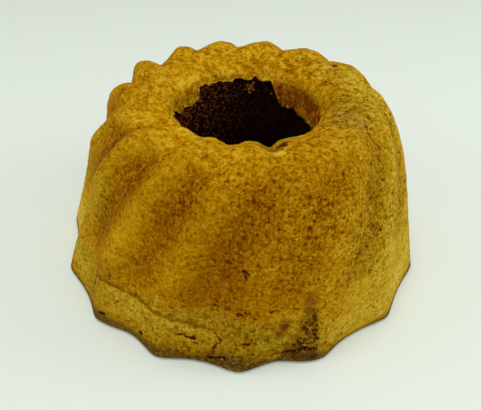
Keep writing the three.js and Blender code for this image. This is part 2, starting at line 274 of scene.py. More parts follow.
# Patches that are browner or paler: partly the crust's own browning, partly painted shade on the front, along
# the base's edge and at the lip's edge, and painted light on the rim round the hole
TONE_LIGHT_AND_SHADE_SPOTS = [
    (258, 85, 60, 70, -0.17), (292, 26, 98, 26, -0.1), (318, 18, 96, 24, -0.06), (270, 9, 44, 20, -0.12),
    (272, 18, 19, 15, -0.12), (222, 8, 27, 12, -0.14), (227, 5, 31, 8, -0.12), (281, 10, 80, 26, -0.08),
    (258, 8, 78, 22, -0.07), (253, 8, 40, 9, -0.09), (262, 6, 54, 14, 0.12), (240, 7, 57, 14, 0.07),
    (206, 22, 93, 26, -0.13), (346, 28, 122, 24, -0.11), (2, 22, 133, 14, -0.16), (50, 8, 123.5, 7, -0.18),
    (33, 9, 104, 16, -0.12), (305, 54, 123, 19, -0.1), (329, 11, 125, 13, -0.16), (269, 34, 2, 13, -0.3),
    (250, 8, 10, 8, -0.07), (236, 8, 15, 9, 0.09), (178, 10, 4, 14, 0.1), (300, 22, 10, 28, 0.05),
    (293, 22, 62, 28, 0.1), (315, 18, 34, 20, 0.06), (345, 34, 60, 70, 0.08), (330, 30, 25, 40, 0.08),
    (326, 34, 6, 22, 0.18), (180, 26, 8, 22, 0.2), (206, 8, 8, 14, 0.12), (14, 22, 110, 16, 0.1),
    (181, 8, 111, 10, -0.14), (55, 7, 131, 8, -0.18), (24, 7, 131, 8, -0.2), (320, 10, 122, 8, 0.08),
    (218, 12, 8, 18, -0.1), (232, 28, 58, 24, 0.1), (105, 62, 148, 15, 0.25), (51, 8, 139, 6, -0.14),
    (140, 12, 147, 6, -0.2), (146, 26, 136, 7, 0.13), (25, 40, 157, 9, 0.14), (155, 24, 151, 10, -0.1),
    (57, 8, 147, 5, -0.14), (232, 24, 130, 11, 0.13), (279, 9, 110, 10, -0.09), (227, 5, 84, 9, -0.08),
    (315, 5, 90, 20, -0.1), (240.5, 4, 96, 7, 0.1), (309, 9, 31, 12, 0.08), (323.5, 7, 37, 14, 0.09),
    (338, 9, 122, 7, -0.12), (311, 6, 40, 9, -0.09), (52, 9, 117, 5, 0.1), (76, 8, 119, 6, 0.1),
    (128, 6, 117, 6, 0.07), (218, 5, 110, 7, 0.08), (216, 4, 88, 10, 0.08), (224, 5, 98, 9, -0.08),
    (250, 7, 104, 8, -0.07), (256, 16, 38, 10, -0.05), (283, 5, 87, 8, 0.07), (300, 12, 93, 12, 0.08),
    (271, 6, 30, 7, -0.09), (267, 6, 41, 6, -0.05), (269, 5, 11, 6, -0.07), (261, 5, 9, 6, 0.1),
    (292, 6, 118.5, 6, 0.11), (266, 6, 119, 6, 0.09), (182, 14, 24, 16, 0.09), (311, 9, 30, 9, 0.06),
    (14, 14, 104, 12, 0.05), (215, 6, 100, 8, 0.05), (234, 9, 124, 6, 0.06), (244, 6, 94, 8, 0.07),
]
# Patches with the paler, greener tones
OLIVE_SPOTS = [
    (344, 34, 122, 26, 0.35), (27, 40, 118, 22, 0.6), (342, 46, 85, 65, 0.4), (5, 45, 112, 32, 0.3),
    (328, 44, 32, 58, 0.7), (192, 36, 40, 60, 0.4), (211, 9, 72, 34, 0.45), (227, 6, 31, 9, 0.7),
    (170, 30, 120, 22, 0.25), (200, 18, 105, 20, 0.25), (157, 34, 158, 15, 0.15), (288, 14, 22, 18, 0.5),
    (246, 46, 0, 16, 0.45), (325, 40, 0, 30, 0.3), (320, 46, 72, 85, 0.3), (352, 40, 100, 50, 0.2),
]
# Patches of painted light round the hole's lip, where the crust is drawn lighter and more golden
LIP_LIGHT_SPOTS = [
    (76, 64, 141, 9, 1), (148, 30, 139, 6, 0.9), (100, 40, 147, 8, 0.5),
]
# Patches where the skin is flaky
FLAKY_SPOTS = [
    (336, 11, 118, 11, 0.8), (333, 9, 111.5, 9, 0.7), (341, 12, 126, 9, 0.7),
]
# Patches with a coarser or finer grain
GRAIN_SPOTS = [
    (345, 60, 80, 75, 0.4), (75, 90, 125, 24, 0.25), (250, 45, 75, 50, -0.1), (222, 22, 12, 18, -0.35),
    (105, 70, 146, 14, 0.6), (33, 48, 152, 12, -0.5), (294, 28, 78, 46, 0.45), (262, 24, 103, 18, 0.3),
    (258, 18, 46, 26, -0.2), (326, 24, 45, 45, 0.4), (289, 18, 18, 26, 0.4), (268, 54, 133, 17, -0.35),
]
BAND_GRAIN = 0.2
# Top of the paler base band against angle, and how far below and above it the band fades
BAND_TOP = [
    (0, 24), (215, 27), (245, 31), (256, 33), (266, 36), (271, 33), (275, 30), (283, 20), (300, 20),
    (330, 24),
]
BAND_FADE = (-8, 3)
# Where the band is more golden
BAND_GOLD = 0.35
BAND_GOLD_SIDE = (246, 30, 14)
# Scorched edge of the base, on the lobes and in the bays
BURNT_FROM = -1.5
BURNT_LOBE = 5
BURNT_BAY = 3.5
# Scorched patches of the base
BURNT_SPOTS = [
    (226, 8, 1, 9, 0.9), (234, 9, 0, 8, 1), (246, 11, 0, 9, 1.2), (254, 12, 10, 11, 0.12),
    (257, 6, 0, 5, 0.8), (267, 12, 2, 13, 1), (287.5, 8, 0, 10, 2.4),
]
# Browner zone above the base's edge
BROWN_EDGE = 0.1
BROWN_EDGE_FADE = (1, 15)
BAY_SHARE = 0.4
EDGE_OLIVE_LOSS = 0.6
# Distances over which the wrinkles of the top come
WRINKLE_FADE = (100, 118)

# Noises of the materials: lump size and detail
CRUST_NOISES = {"patches": (10, 1), "mottle": (3.6, 2), "grains": (1.7, 1), "fine": (0.7, 1)}
CRUMB_NOISES = {"mottle": (3, 1), "grains": (1.3, 1), "fine": (0.7, 0)}
LOOSE_NOISES = {"mottle": (2.2, 0), "grains": (0.9, 0)}
BASE_NOISES = {"mottle": (6, 0), "grains": (2, 0)}
HUE_NOISE = (6, 2)
HUE_WEIGHT = 0.8

# Weights of the crust's fields in its tone and in its height
TONE_WEIGHTS = {
    "patches": 0.18, "wrinkles": 0.4, "grains": 0.6, "fine": 0.5, "pores": -0.14, "blots": -0.17,
    "specks": 0.22, "squiggles": -0.17,
}
HEIGHT_WEIGHTS = {"mottle": 0.5, "grains": 0.4, "pores": -0.35, "blots": -0.3}
WRINKLE_GAIN = 1.4

# Dots of the crust: spacing, weights of the noise that makes them uneven, and reach in spacings
Dots = namedtuple("Dots", "spacing weights reach")
PORES = Dots(2, {"fine": 0.8}, 0.5)
BLOTS = Dots(3.3, {"grains": 0.7}, 0.46)
SPECKS = Dots(2.4, {"fine": 0.5}, 0.3)
PORE_CROWD = 0.05
BLOT_BROWN = 2
BLOT_OLIVE = 0.15
SPECK_CROWD = -0.12
DOT_CORE = 0.3
DOT_CHANCE = (0.5, 0.85)

# Winding lines of the crust
SQUIGGLE_NOISE = (2.3, 1)
SQUIGGLE_WIDTH = 0.055
SQUIGGLE_PATCH = 2.9
SQUIGGLE_BROWN = 0.3
SQUIGGLE_LEVELS = (-0.08, 0.12)

# Painted shade in the crease at the ledge and painted light on the shelf below it, by distance above the
# ledge
CREASE_WEIGHTS = {"mottle": 2}
CREASE_WIDTH = (1.3, 0.3)
CREASE_SHADE_TONE = -0.12
CREASE_SHADE_SHARE = 0.45
SHELF_BELOW = (-7, -3)
SHELF_ABOVE = (0, -1.2)
SHELF_LIGHT_TONE = 0.1

# Layers over the crust: weights of the noises in their border, levels they come between, strength
Layer = namedtuple("Layer", "weights levels strength")
BURNT_LAYER = Layer({"mottle": 0.7, "grains": 1, "fine": 1.2}, (0.2, 0.85), 0.85)
SMEAR_LAYER = Layer({"mottle": 1.6, "grains": 2.6, "fine": 3}, (0.2, 0.8), 0.75)
STREAK_LAYER = Layer({"grains": 2.2, "mottle": 1, "fine": 1.2}, (0.5, 0.95), 1)
PIT_LAYER = Layer({"fine": 0.6}, (0.35, 0.9), 0.6)
FLAKE_LAYER = Layer({"grains": 1.4, "mottle": 1.2}, (0.2, 0.8), 0.6)
PALE_LAYER = Layer({"fine": 0.8, "grains": 1}, (0.1, 1), 0.75)
GOUGE_SHADE_LAYER = Layer({"grains": 1.2}, (0.2, 0.8), 0.8)
TONGUE_SHARE = 0.75

# Pale flecks above the torn edge and cocoa crumb below it, by depth below the edge
TORN_WEIGHTS = {"grains": 2.4, "fine": 1.2}
FLECK_WEIGHTS = {"mottle": 1, "grains": 1}
FLECK_LEVELS = (-0.05, 0.12)
FLECK_PLACE = (-2.2, -0.5)
FLECK_SHARE = 0.7
COCOA_PLACE = (-0.2, 0.4)

# Lighter crumb specks in the hole; fewer lower down and to the right, as painted shade, so most show high up
# and to the left
CRUMB_CELL = 1.8
CRUMB_CHANCE = (0, 0.9)
CRUMB_LIT_HEIGHTS = (35, 88)
CRUMB_LIT_SIDES = (8, -36)
CRUMB_LIT_HIGH = 0.75
CRUMB_LIT_LEFT = 0.9
CRUMB_DENT = -0.4

# Surfaces: roughness and gloss, and depths of the bumps
CRUST_SURFACE = (0.75, 0.01)
CRUMB_SURFACE = (0.85, 0.03)
BASE_SURFACE = (0.75, 0.06)
FLOOR_SURFACE = (0.6, 0.2)
CRUST_BUMP = 0.4
CRUMB_BUMP = 0.6

# Stage, in metres; a lamp has a name, a place, a size and an energy
FLOOR = (0.86, 0.94, 0.86, 1)
FLOOR_HALF = 3
WORLD_COLOUR = (1, 1, 0.97, 1)
WORLD_STRENGTH = 0.43
LAMPS = [
    ("key", (-0.05, 0.05, 1.15), 0.6, 3.6),
    ("left", (-1, -0.1, 0.5), 0.7, 1.6),
    ("right", (1, 0.1, 0.45), 0.7, 3),
    ("front", (0.1, -0.9, 0.9), 0.7, 2.6),
]
LAMP_AIM = (0, 0, 0.05)

# Camera, fitted to the photograph
IMAGE_WIDTH = 481
FOCAL_PIXELS = 565
SENSOR = 36
CAMERA_ELEVATION = 39.83
CAMERA_DISTANCE = 361.9
CAMERA_ROLL = 0.02405
CAMERA_TARGET = (-0.28, 0, 20.15)
CLIP_START = 0.01


def smoothstep(low, high, x):
    """0 below low, 1 above high, smooth between."""
    t = np.clip((x - low) / (high - low), 0, 1)
    return t * t * (3 - 2 * t)


def lerp(a, b, share):
    return a + (b - a) * share


def window(x, middle, half_width, core=0):
    """1 within a core about a middle, falling smoothly to 0 at half a width to either side."""
    return 1 - smoothstep(core, half_width, np.abs(x - middle))


def turned(angle, middle):
    """Angle from a middle, between -180 and 180."""
    return (angle - middle + 180) % 360 - 180


def angle_window(angle, middle, half_width, core=0):
    """The window about an angle, round the ring."""
    return window(turned(angle, middle), 0, half_width, core)


def patched(angle, distance, patches):
    """Sum of smooth patches."""
    return sum(height * angle_window(angle, at, width) * window(distance, along, length)
               for at, width, along, length, height in patches)


# Form of the cake, as in the solid


def ridge_profile():
    """Radius, height and outward normal of the ridges against distance from the base's edge to the lip."""
    start = math.asin(math.sqrt(EDGE_ROUND / HEIGHT))
    wall = np.linspace(start, math.pi / 2, PROFILE_SAMPLES)
    lip = np.linspace(0, math.pi / 2, PROFILE_SAMPLES)[1:]
    wall_radius = CREST_RADIUS + (BASE_RADIUS - CREST_RADIUS) * np.cos(wall)
    lip_radius = CREST_RADIUS - (CREST_RADIUS - LIP_RADIUS) * np.sin(lip)
    radius = np.concatenate([wall_radius, lip_radius])
    height = np.concatenate([HEIGHT * np.sin(wall) ** 2, HEIGHT - LIP_DROP * (1 - np.cos(lip))])
    distance = np.concatenate([[0], np.cumsum(np.hypot(np.diff(radius), np.diff(height)))])
    out = np.gradient(height, distance)
    up = -np.gradient(radius, distance)
    return {"distance": distance, "radius": radius, "height": height, "out": out, "up": up,
            "crest": distance[PROFILE_SAMPLES - 1], "end": distance[-1]}


PROFILE = ridge_profile()


def flute_angle(flute, distance):
    """Angle of a place across the flutes, where whole numbers are ridges, at a distance up the profile."""
    even = FRONT_RIDGE + flute * 360 / FLUTES
    shifted = even + PITCH_SHIFT * (1 + np.cos(2 * np.radians(even - PITCH_SHIFT_PEAK)))
    turn = np.interp(even, *zip(*SWIRL_STATIONS), period=360)
    share = np.clip((distance - SWIRL_FROM) / (PROFILE["crest"] - SWIRL_FROM), 0, SWIRL_LIMIT)
    return shifted + turn * share ** SWIRL_POWER


def shallow_side(angle, distance):
    """1 where the flutes are shallow and soft, 0 where they are deep."""
    return smoothstep(*SHALLOW_FADE, distance) * angle_window(angle, *SHALLOW_SIDE)


def channel(flute, angle, distance):
    """0 on a ridge and 1 in the channel beside it."""
    wave = flute * math.pi
    blunt = np.hypot(np.sin(wave), RIDGE_ROUND) - RIDGE_ROUND
    ridged = blunt / (math.hypot(1, RIDGE_ROUND) - RIDGE_ROUND)
    humped = 1 - np.abs(np.cos(wave))
    crisp = lerp(ridged, humped, smoothstep(*HUMPS_FADE, distance))
    return lerp(crisp, np.sin(wave) ** 2, shallow_side(angle, distance))


def flute_depth(angle, distance):
    """Depth of the channels below the ridges."""
    places, depths = zip(*DEPTH_STATIONS)
    side = 1 - SHALLOW_SHARE * shallow_side(angle, distance)
    inside_crest = smoothstep(*CREST_FADE, distance)
    fading = CREST_SHARE * inside_crest * (1 - angle_window(angle, *DEEP_SIDE))
    return np.interp(distance, places, depths) * side * (1 - fading)


def unevenness(angle, distance):
    """Slow sinking and swelling of the surface."""
    a = np.radians(angle)
    broad = np.sin(BROAD["count"] * a + BROAD["phase"]) * np.sin(distance / BROAD["length"] + BROAD["start"])
    slanted = np.sin(NARROW["count"] * a + NARROW["phase"] + distance / NARROW["slant"])
    narrow = slanted * np.cos(distance / NARROW["length"])
    waves = BROAD["share"] * broad + NARROW["share"] * narrow
    return UNEVEN * waves * smoothstep(0, LEDGE_PLACE, distance)


def ledge_place(angle):
    """Distance along the profile of the ledge above the base band."""
    return LEDGE_PLACE - LEDGE_DIP * angle_window(angle, *LEDGE_DIP_SIDE)


def ledge(angle, distance):
    """Depth of the wall behind the base band, just above the ledge."""
    above = distance - ledge_place(angle)
    fading = 1 - smoothstep(LEDGE_FALL, LEDGE_FADE, above)
    return LEDGE_STEP * smoothstep(0, LEDGE_FALL, above) * fading * angle_window(angle, *LEDGE_SIDE)


def gouged(angle, distance):
    """Depth of the places on the lip where crumb came away."""
    on_lip = smoothstep(*GOUGE_FADE, distance)
    return sum(depth * on_lip * angle_window(angle, at, width) for at, width, depth in LIP_GOUGES)


def sunk(flute, angle, distance):
    """How far the surface lies inside the ridge profile."""
    fluted = flute_depth(angle, distance) * channel(flute, angle, distance)
    uneven = unevenness(angle, distance) - patched(angle, distance, SWELLS)
    return fluted + ledge(angle, distance) + gouged(angle, distance) + uneven


def torn_edge(angle):
    """Height of the crust's torn edge in the hole."""
    a = np.radians(angle)
    ragged = sum(height * np.sin(count * a + phase) for height, count, phase in TORN_WAVES)
    tongues = sum(drop * angle_window(angle, at, width, core) for at, width, core, drop in CRUST_TONGUES)
    return np.minimum(TORN_TOP, TORN_LEVEL + ragged - tongues)


def place(angle, radius, height):
    """Points from angle, radius and height, with the crest's lean."""
    lean = TOP_LEAN * np.clip(height / HEIGHT, 0, 1) ** LEAN_POWER
    a = np.radians(angle)
    return np.stack([radius * np.cos(a) + lean, radius * np.sin(a), height], axis=-1)


# Fine mesh of the cake


def column_places():
    """Places across the flutes of the mesh's columns, from the back round the front to the back."""
    start, end = FRONT_FLUTES
    back = np.linspace(end - FLUTES, start, BACK_COLUMNS, endpoint=False)
    front = np.linspace(start, end, FRONT_COLUMNS, endpoint=False)
    return np.concatenate([back, front])[:, None]


def edge_rows(flute):
    """Points round the base's outer edge, with angle, distance and depth below the torn edge."""
    turn = np.linspace(0, math.pi / 2, EDGE_ROWS + 1)[None, :-1]
    angle = flute_angle(flute, 0) + 0 * turn
    radius = BASE_RADIUS - sunk(flute, angle, 0) - EDGE_ROUND * (1 - np.sin(turn))
    height = EDGE_ROUND * (1 - np.cos(turn)) + 0 * angle
    distance = EDGE_ROUND * (turn - math.pi / 2) + 0 * angle
    return place(angle, radius, height), angle, distance, 0 * angle - FAR_ABOVE


def outer_rows(flute):
    """Points from the base's edge over the crest to the lip."""
    distance = np.linspace(0, PROFILE["end"], OUTER_ROWS)[None, :]
    radius, height, out, up = (np.interp(distance, PROFILE["distance"], PROFILE[k])
                               for k in ("radius", "height", "out", "up"))
    angle = flute_angle(flute, distance)
    depth = sunk(flute, angle, distance)
    points = place(angle, radius - depth * out, height - depth * up)
    return points, angle, distance + 0 * angle, 0 * angle - FAR_ABOVE


def frayed_edge(angle):
    """Height of the torn edge with its small teeth."""
    a = np.radians(angle)
    around = np.stack([np.cos(a), np.sin(a), 0 * a], axis=-1) * LIP_RADIUS
    return np.minimum(TORN_TOP, torn_edge(angle) + lumpy(around, FRAYS))


def hole_rows(flute, heights, behind):
    """Points on the hole's wall at given heights, that far behind its crust, with their angle."""
    lip_angle = flute_angle(flute, PROFILE["end"])
    lip_depth = sunk(flute, lip_angle, PROFILE["end"])
    share = heights / LIP_HEIGHT
    angle = lerp(flute_angle(flute, 0), lip_angle, share)
    radius = lerp(HOLE_BASE_RADIUS, LIP_RADIUS, share) + lip_depth * share ** LIP_REACH
    return place(angle, radius + behind, heights), angle


def torn_rows(flute):
    """Points of the crust in the hole, down to its torn edge and behind it."""
    edge = frayed_edge(flute_angle(flute, PROFILE["end"]))
    shares = np.arange(1, CRUST_ROWS + 1)[None, :] / CRUST_ROWS
    crust = lerp(LIP_HEIGHT, edge, shares)
    heights = np.concatenate([crust, edge - TORN_SLOPE / 2, edge - TORN_SLOPE], axis=1)
    behind = np.concatenate([np.zeros(CRUST_ROWS), [TORN_DEPTH / 2, TORN_DEPTH + CRUMB_TUCK]])[None, :]
    points, angle = hole_rows(flute, heights, behind)
    return points, angle, PROFILE["end"] + LIP_HEIGHT - heights, edge - heights


def crust_grid():
    """Points of the crust, in columns round the ring and rows up from the base, with facts about them."""
    flute = column_places()
    rows = zip(edge_rows(flute), outer_rows(flute), torn_rows(flute))
    points, angle, distance, below = (np.concatenate(parts, axis=1) for parts in rows)
    valley = np.sin(flute * math.pi) ** 2 + 0 * angle
    flank = np.sin(flute * 2 * math.pi) + 0 * angle
    return points, {"angle": angle, "distance": distance, "bare": below, "channel": valley}, flank


def crumb_grid():
    """Points of the bare crumb down the hole, then of the flat base out to its edge."""
    flute = column_places()
    top = frayed_edge(flute_angle(flute, PROFILE["end"])) + CRUMB_TUCK
    heights = lerp(top, EDGE_ROUND, np.linspace(0, 1, CRUMB_ROWS)[None, :])
    crumb, _ = hole_rows(flute, heights, TORN_DEPTH)
    angle = flute_angle(flute, 0)
    inner = HOLE_BASE_RADIUS + TORN_DEPTH + EDGE_ROUND
    outer = BASE_RADIUS - sunk(flute, angle, 0) - EDGE_ROUND
    share = np.linspace(0, 1, BASE_ROWS)[None, :]
    base = place(angle + 0 * share, lerp(inner, outer, share), 0 * angle + 0 * share)
    return np.concatenate([crumb, base], axis=1)


def grid_normals(points):
    """Outward unit normals of a grid that closes round the ring."""
    along = np.roll(points, -1, axis=0) - np.roll(points, 1, axis=0)
    normal = np.cross(along, np.gradient(points, axis=1))
    return normal / np.maximum(np.linalg.norm(normal, axis=-1, keepdims=True), TINY)


def grain(points, size, seed):
    """Smooth noise from -1 to 1 whose lumps are about that size."""
    shift = Vector([step * seed for step in SEED_STEPS])
    flat = points.reshape(-1, 3) / size
    values = [noise.noise(Vector(p) + shift) for p in flat]
    return np.array(values).reshape(points.shape[:-1])


def lumpy(points, lumps):
    """Height of lumps of several sizes."""
    return sum(height * grain(points, size, seed) for height, size, seed in lumps)


# Relief and browning of the crust


def from_line(angle, distance, start, end):
    """Distance over the wall from a line between two places."""
    across = turned(angle, start[0]) * MM_PER_DEGREE
    up = distance - start[1]
    run = (end[0] - start[0]) * MM_PER_DEGREE
    rise = end[1] - start[1]
    share = np.clip((across * run + up * rise) / (run * run + rise * rise), 0, 1)
    return np.hypot(across - share * run, up - share * rise)


def slits(facts):
    """Depth of the slits, from 0 beyond their edge to at most 1."""
    depth = np.zeros_like(facts["angle"])
    for start, end, half_width, darkness in MARKS:
        near = from_line(facts["angle"], facts["distance"], start, end)
        shallow = smoothstep(half_width * SLIT_CORE, half_width + MARK_SOFT, near)
        depth = np.maximum(depth, darkness * (1 - shallow))
    return depth


def scattered_pits():
    """Places and sizes of small pits at random, and of the ones that show."""
    draw = random.Random(PIT_SEED)
    spans = (PIT_ANGLES, PIT_PLACES, PIT_RADII)
    return [tuple(draw.uniform(*span) for span in spans) for _ in range(PIT_COUNT)] + PITS


def spotted(points, facts, spots):
    """1 in the middle of a spot, 0 beyond its edge."""
    radius = np.hypot(points[..., 0], points[..., 1])
    share = np.zeros_like(radius)
    for at, along, size in spots:
        across = np.radians(turned(facts["angle"], at)) * radius
        near = np.hypot(across, facts["distance"] - along)
        share = np.maximum(share, 1 - smoothstep(*SPOT_FADE, near / size))
    return share


def crust_relief(points, facts):
    """Height of the crust's lumps above the plain form, with pits and slits sunk into it."""
    standing = smoothstep(*CRUST_FOOT, points[..., 2])
    rough = (1 + facts["wrinkle"]) * lumpy(points, CRUST_LUMPS) * standing
    rough += lumpy(points, TORN_LUMPS) * facts["torn"]
    return rough - PIT_DEPTH * facts["pit"] - SLIT_DEPTH * slits(facts)


def brown_edge(facts):
    """1 low on the lobes of the base, less in its bays, 0 up the wall."""
    low = 1 - smoothstep(*BROWN_EDGE_FADE, facts["distance"])
    return low * lerp(1, BAY_SHARE, facts["channel"])


def base_band(facts):
    """1 on the paler band round the base, 0 above it."""
    top = np.interp(facts["angle"], *zip(*BAND_TOP), period=360)
    return 1 - smoothstep(*BAND_FADE, facts["distance"] - top)


def browning_and_shading(facts, flank):
    """Tone of the crust, from 0 dark to 1 pale, with painted shade in the grooves, in the hole and in some
    patches, and painted highlights and flank light on the left ridges.
    """
    angle, distance, valley = facts["angle"], facts["distance"], facts["channel"]
    left = angle_window(angle, *LEFT_SIDE)
    # Painted shade, with some browning, in the grooves
    grooves = valley * smoothstep(*GROOVE_FADE_IN, distance) * (1 - smoothstep(*GROOVE_FADE_OUT, distance))
    # Painted highlight on the left ridges, and painted light and shade on their two flanks
    ridges = (1 - valley) * left * window(distance, *LEFT_RIDGE_PLACE)
    flank_light = flank * angle_window(angle, *LEFT_FLANK_SIDE) * window(distance, *LEFT_FLANK_PLACE)
    browned_and_shaded = (GROOVE_BROWN_AND_SHADE + LEFT_GROOVE_BROWN_AND_SHADE * left) * grooves + BROWN_EDGE * brown_edge(facts)
    lit_and_toned = LEFT_RIDGE_HIGHLIGHT * ridges + LEFT_FLANK_LIGHT * flank_light + patched(angle, distance, TONE_LIGHT_AND_SHADE_SPOTS)
    return CRUST_TONE - browned_and_shaded + lit_and_toned - WALL_BROWN_AND_SHADE * facts["shaded"]


def add_hues(facts, flank):
    """Adds where the crust is shaded, its tone with painted light and shade, and where it is olive, golden
    with painted light, and burnt.
    """
    angle, distance = facts["angle"], facts["distance"]
    facts["shaded"] = angle_window(angle, *WALL_SIDE) * smoothstep(*WALL_FADE, distance)
    facts["tone"] = browning_and_shading(facts, flank)
    plain = 1 - facts["shaded"]
    greenish = base_band(facts) * (1 - BAND_GOLD * angle_window(angle, *BAND_GOLD_SIDE))
    olive = np.maximum(greenish, patched(angle, distance, OLIVE_SPOTS))
    facts["olive"] = olive * (1 - EDGE_OLIVE_LOSS * brown_edge(facts)) * plain
    # Painted light round the hole's lip: lighter, more golden crust
    facts["golden"] = np.clip(patched(angle, distance, LIP_LIGHT_SPOTS), 0, 1) * plain
    scorch = 1 - smoothstep(BURNT_FROM, lerp(BURNT_LOBE, BURNT_BAY, facts["channel"]), distance)
    facts["burnt"] = np.clip(scorch + patched(angle, distance, BURNT_SPOTS), 0, 1)


def add_textures(points, facts):
    """Adds the ledge, the wrinkles and grain of the crust, its flakes and its small spots."""
    angle, distance = facts["angle"], facts["distance"]
    facts["ledge"] = distance - ledge_place(angle)
    facts["ledge_share"] = angle_window(angle, *LEDGE_SIDE)
    facts["wrinkle"] = smoothstep(*WRINKLE_FADE, distance)
    facts["grainy"] = 1 + patched(angle, distance, GRAIN_SPOTS) + BAND_GRAIN * base_band(facts)
    facts["flaky"] = patched(angle, distance, FLAKY_SPOTS)
    facts["torn"] = smoothstep(*TORN_FADE, distance - PROFILE["end"])
    facts["gouge_shade"] = spotted(points, facts, GOUGE_SHADE_SPOTS)
    facts["pit"] = spotted(points, facts, scattered_pits())
    facts["pale"] = spotted(points, facts, PALE_SPOTS)


# Pieces


def mesh_from_grid(name, points, facts):
    """A mesh from a grid that closes round the ring, with its facts as attributes."""
    columns, rows = points.shape[:2]
    index = np.arange(columns * rows).reshape(columns, rows)
    beside = np.roll(index, -1, axis=0)
    faces = np.stack([index[:, :-1], beside[:, :-1], beside[:, 1:], index[:, 1:]], axis=-1)
    mesh = bpy.data.meshes.new(name)
    mesh.from_pydata((points.reshape(-1, 3) * MM).tolist(), [], faces.reshape(-1, 4).tolist())
    for fact, values in facts.items():
        attribute = mesh.attributes.new(fact, "FLOAT", "POINT")
        attribute.data.foreach_set("value", values.ravel().astype(np.float32))
    mesh.shade_smooth()
    mesh.update()
    return mesh


def corner_angles(mesh, angle):
    """The angle again, at the faces' corners, so that it runs on across the seam."""
    onward = np.concatenate([angle[1:], angle[:1] + 360], axis=0)
    corners = np.stack([angle[:, :-1], onward[:, :-1], onward[:, 1:], angle[:, 1:]], axis=-1)
    attribute = mesh.attributes.new("round", "FLOAT", "CORNER")
    attribute.data.foreach_set("value", corners.ravel().astype(np.float32))


def add_piece(name, mesh, materials):
    for material in materials:
        mesh.materials.append(material)
    piece = bpy.data.objects.new(name, mesh)
    bpy.context.scene.collection.objects.link(piece)
    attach(piece, "root")
    return piece


def solid_shift(points):
    """How far sideways points move so that they stand where the solid stands."""
    low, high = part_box("cake")
    flat = points.reshape(-1, 3)
    shift = np.array((low + high) / 2) / MM - (flat.min(axis=0) + flat.max(axis=0)) / 2
    shift[2] = 0
    return shift


def make_crust():
    """The crust, in place of the solid; gives how far it moved to stand there."""
    points, facts, flank = crust_grid()
    add_hues(facts, flank)
    add_textures(points, facts)
    points = points + grid_normals(points) * crust_relief(points, facts)[..., None]
    shift = solid_shift(points)
    mesh = mesh_from_grid("cake_crust", points + shift, facts)
    corner_angles(mesh, facts["angle"])
    crust = add_piece("cake_crust", mesh, [crust_material()])
    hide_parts("cake")
    return shift


def make_crumb(shift):
    """The bare crumb of the hole's wall, and the flat base in a material of its own."""
    points = crumb_grid()
    crags = lumpy(points, CRUMB_LUMPS) * smoothstep(*CRUMB_FOOT, points[..., 2])
    points = points + grid_normals(points) * crags[..., None]
    mesh = mesh_from_grid("cake_crumb", points + shift, {})
    add_piece("cake_crumb", mesh, [crumb_material(), base_material()])
    row = np.tile(np.arange(points.shape[1] - 1), points.shape[0])
    mesh.polygons.foreach_set("material_index", (row >= CRUMB_ROWS - 1).astype(np.int32))


def make_loose_crumbs(shift):
    """The lumpy crumbs that cling to the hole's wall."""
    build = bmesh.new()
    for angle, height, size in LOOSE_CRUMBS:
        wall = lerp(HOLE_BASE_RADIUS, LIP_RADIUS, height / LIP_HEIGHT) + TORN_DEPTH - LOOSE_SINK * size
        middle = Vector(place(angle, wall, height) + shift)
        lump = bmesh.ops.create_icosphere(build, subdivisions=LOOSE_DETAIL, radius=size)
        for vertex in lump["verts"]:
            dent = sum(depth * noise.noise(vertex.co * pace + middle) for pace, depth in LOOSE_DENTS)
            vertex.co = (middle + vertex.co * (1 + dent)) * MM
    mesh = bpy.data.meshes.new("cake_loose_crumbs")
    build.to_mesh(mesh)
    build.free()
    add_piece("cake_loose_crumbs", mesh, [loose_material()])


# Colours


def tint(red, green, blue):
    """A linear colour from sRGB values of 0 to 255."""
    shares = [v / 255 for v in (red, green, blue)]
    return tuple(v / 12.92 if v <= 0.04045 else ((v + 0.055) / 1.055) ** 2.4 for v in shares) + (1,)


def tints(*colours):
    return [tint(*colour) for colour in colours]


# Palettes of the crust, from dark to pale in even steps of tone
TONE_STEP = 0.25
CRUST_TONES = tints((82, 34, 0), (118, 63, 0), (151, 97, 0), (183, 131, 4), (212, 169, 28), (238, 205, 76))
BAND_TONES = tints((72, 42, 0), (112, 80, 2), (146, 112, 9), (177, 144, 24), (208, 177, 58), (234, 208, 104))
# Palette of the painted light round the hole's lip
LIT_GOLDEN_TONES = tints((98, 42, 0), (140, 76, 0), (178, 116, 2), (212, 154, 12), (236, 186, 38), (250, 212, 78))

# Single tints
BURNT = tint(100, 80, 33)
BURNT_RED = tint(78, 54, 20)
STREAK = tint(48, 22, 6)
STREAK_RED = tint(100, 50, 10)
# Crumb colour with painted shade in the scooped lip
GOUGE_CRUMB_SHADE = tint(120, 84, 12)
RED_BROWN = tint(92, 34, 4)
# Painted shade in the crease above the base band and in slits and pits
SHADE_BROWN = tint(106, 58, 8)
TONGUE_RED = tint(126, 58, 4)
TONGUE_GOLD = tint(186, 114, 20)
FLAKE_RED = tint(130, 74, 14)
FLAKE_PALE = tint(188, 148, 56)
# Painted shade deep in slits and pits
SHADE_BLACK = tint(32, 13, 4)
CRUMB_PALE = tint(220, 192, 56)
COCOA = tint(17, 4, 3)
COCOA_LIGHT = tint(182, 98, 48)
LOOSE_RED = tint(92, 44, 10)
LOOSE_PALE = tint(160, 106, 46)
BASE_BROWN = tint(150, 108, 30)

